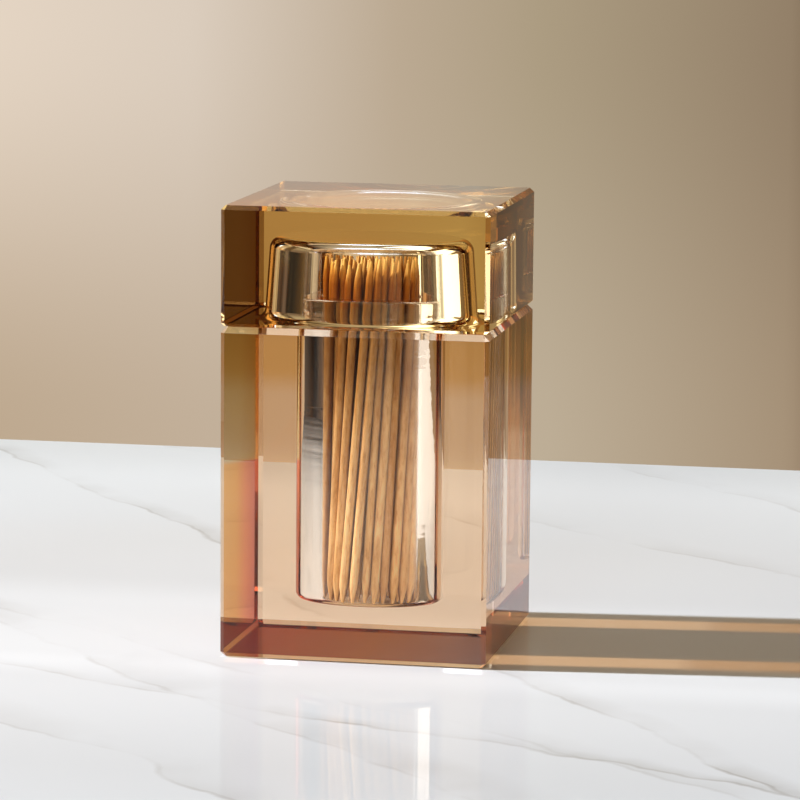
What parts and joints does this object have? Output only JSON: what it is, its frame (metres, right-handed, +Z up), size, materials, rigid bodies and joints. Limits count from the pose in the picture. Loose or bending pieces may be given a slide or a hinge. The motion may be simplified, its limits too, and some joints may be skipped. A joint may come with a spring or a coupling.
{
  "type": "toothpick holder",
  "caption": "Square holder of thick tinted glass: a block with a round bore and neck, a lift-off lid block that fits over the neck, and toothpicks standing in the bore.",
  "frame": {"origin": "centre of the underside, on the surface that the holder stands on", "axes": "+Z up through the bore and the lid, -Y out of the pictured face, +X to its right"},
  "size_m": [0.05, 0.05, 0.084],
  "materials": {
    "body_glass": "polished clear champagne glass",
    "lid_glass": "polished clear champagne glass",
    "bamboo": "plain bamboo, dry and matt"
  },
  "bodies": {
    "holder": {"body": "body_glass", "toothpick_01": "bamboo", "toothpick_02": "bamboo", "toothpick_03": "bamboo", "toothpick_04": "bamboo", "toothpick_05": "bamboo", "toothpick_06": "bamboo", "toothpick_07": "bamboo", "toothpick_08": "bamboo", "toothpick_09": "bamboo", "toothpick_10": "bamboo", "toothpick_11": "bamboo", "toothpick_12": "bamboo", "toothpick_13": "bamboo", "toothpick_14": "bamboo", "toothpick_15": "bamboo", "toothpick_16": "bamboo", "toothpick_17": "bamboo", "toothpick_18": "bamboo", "toothpick_19": "bamboo", "toothpick_20": "bamboo", "toothpick_21": "bamboo", "toothpick_22": "bamboo", "toothpick_23": "bamboo", "toothpick_24": "bamboo", "toothpick_25": "bamboo", "toothpick_26": "bamboo", "toothpick_27": "bamboo", "toothpick_28": "bamboo", "toothpick_29": "bamboo", "toothpick_30": "bamboo", "toothpick_31": "bamboo", "toothpick_32": "bamboo", "toothpick_33": "bamboo", "toothpick_34": "bamboo", "toothpick_35": "bamboo", "toothpick_36": "bamboo", "toothpick_37": "bamboo", "toothpick_38": "bamboo", "toothpick_39": "bamboo", "toothpick_40": "bamboo", "toothpick_41": "bamboo", "toothpick_42": "bamboo", "toothpick_43": "bamboo", "toothpick_44": "bamboo", "toothpick_45": "bamboo", "toothpick_46": "bamboo", "toothpick_47": "bamboo", "toothpick_48": "bamboo", "toothpick_49": "bamboo", "toothpick_50": "bamboo", "toothpick_51": "bamboo", "toothpick_52": "bamboo", "toothpick_53": "bamboo", "toothpick_54": "bamboo", "toothpick_55": "bamboo", "toothpick_56": "bamboo"},
    "lid": {"lid": "lid_glass"}
  },
  "joints": [
    {"name": "lid_lift", "type": "slide", "parent": "holder", "child": "lid", "axis": [0, 0, 1], "range_m": [0, 0.04]}
  ]
}
